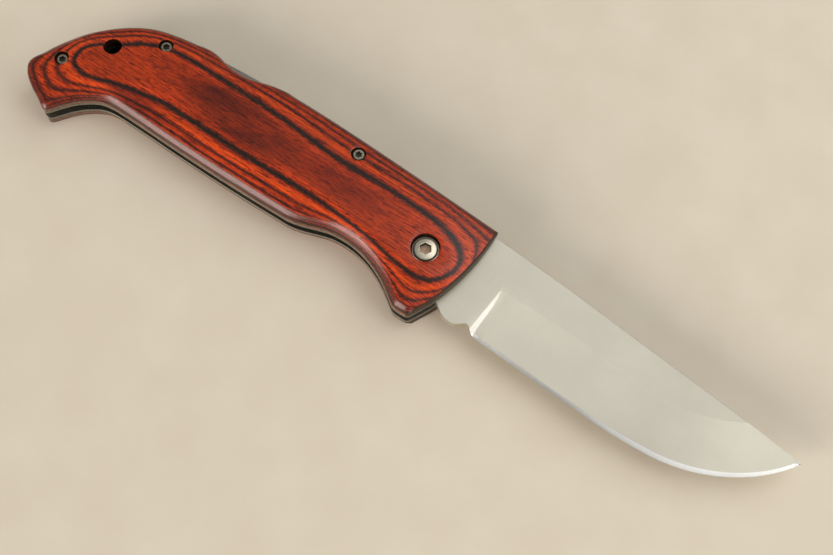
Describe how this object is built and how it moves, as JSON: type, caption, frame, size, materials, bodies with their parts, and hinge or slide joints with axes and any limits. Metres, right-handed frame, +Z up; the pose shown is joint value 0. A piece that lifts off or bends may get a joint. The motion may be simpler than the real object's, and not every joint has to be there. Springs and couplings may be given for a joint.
{
  "type": "folding pocket knife",
  "caption": "Folding pocket knife with a spine lock, open: laminated wood scales on steel liners, a straight-backed ground blade and a rocking lock bar.",
  "frame": {"origin": "middle of the rectangle that the open knife covers, at the height of the surface that it lies on", "axes": "+X along the knife towards the blade's tip, +Y towards the spine, +Z up from the lower scale to the upper one"},
  "size_m": [0.2248, 0.0394, 0.015],
  "materials": {
    "scale_wood": "polished dyed wood laminate, red-orange and near-black layers",
    "blade_steel": "satin, ground across the blade",
    "liner_steel": "satin sheet steel",
    "bright_steel": "bright stainless screws",
    "spring_steel": "dark steel inside the handle",
    "washer_bronze": "plain bronze washer"
  },
  "bodies": {
    "handle": {"upper_scale": "scale_wood", "lower_scale": "scale_wood", "upper_liner": "liner_steel", "lower_liner": "liner_steel", "back_spacer": "spring_steel", "lock_spring": "spring_steel", "pivot_sleeve": "bright_steel", "pivot_screw": "bright_steel", "upper_pivot_washer": "washer_bronze", "lower_pivot_washer": "washer_bronze", "lock_bar_barrel": "spring_steel", "front_spacer_barrel": "spring_steel", "rear_spacer_barrel": "spring_steel", "upper_lock_bar_screw": "bright_steel", "lower_lock_bar_screw": "bright_steel", "upper_front_spacer_screw": "bright_steel", "lower_front_spacer_screw": "bright_steel", "upper_rear_spacer_screw": "bright_steel", "lower_rear_spacer_screw": "bright_steel"},
    "blade": {"blade": "blade_steel"},
    "lock_bar": {"lock_bar": "liner_steel"}
  },
  "joints": [
    {"name": "blade_pivot", "type": "hinge", "parent": "handle", "child": "blade", "pos_m": [0.00525, 0.00229, 0.0075], "axis": [0, 0, 1], "range_deg": [-174, 0]},
    {"name": "lock_bar_rocker", "type": "hinge", "parent": "handle", "child": "lock_bar", "pos_m": [-0.02365, 0.01469, 0.0075], "axis": [0, 0, 1], "range_deg": [0, 3.5], "stiffness_Nm_per_rad": 6.5, "deforming": ["lock_spring"]}
  ]
}
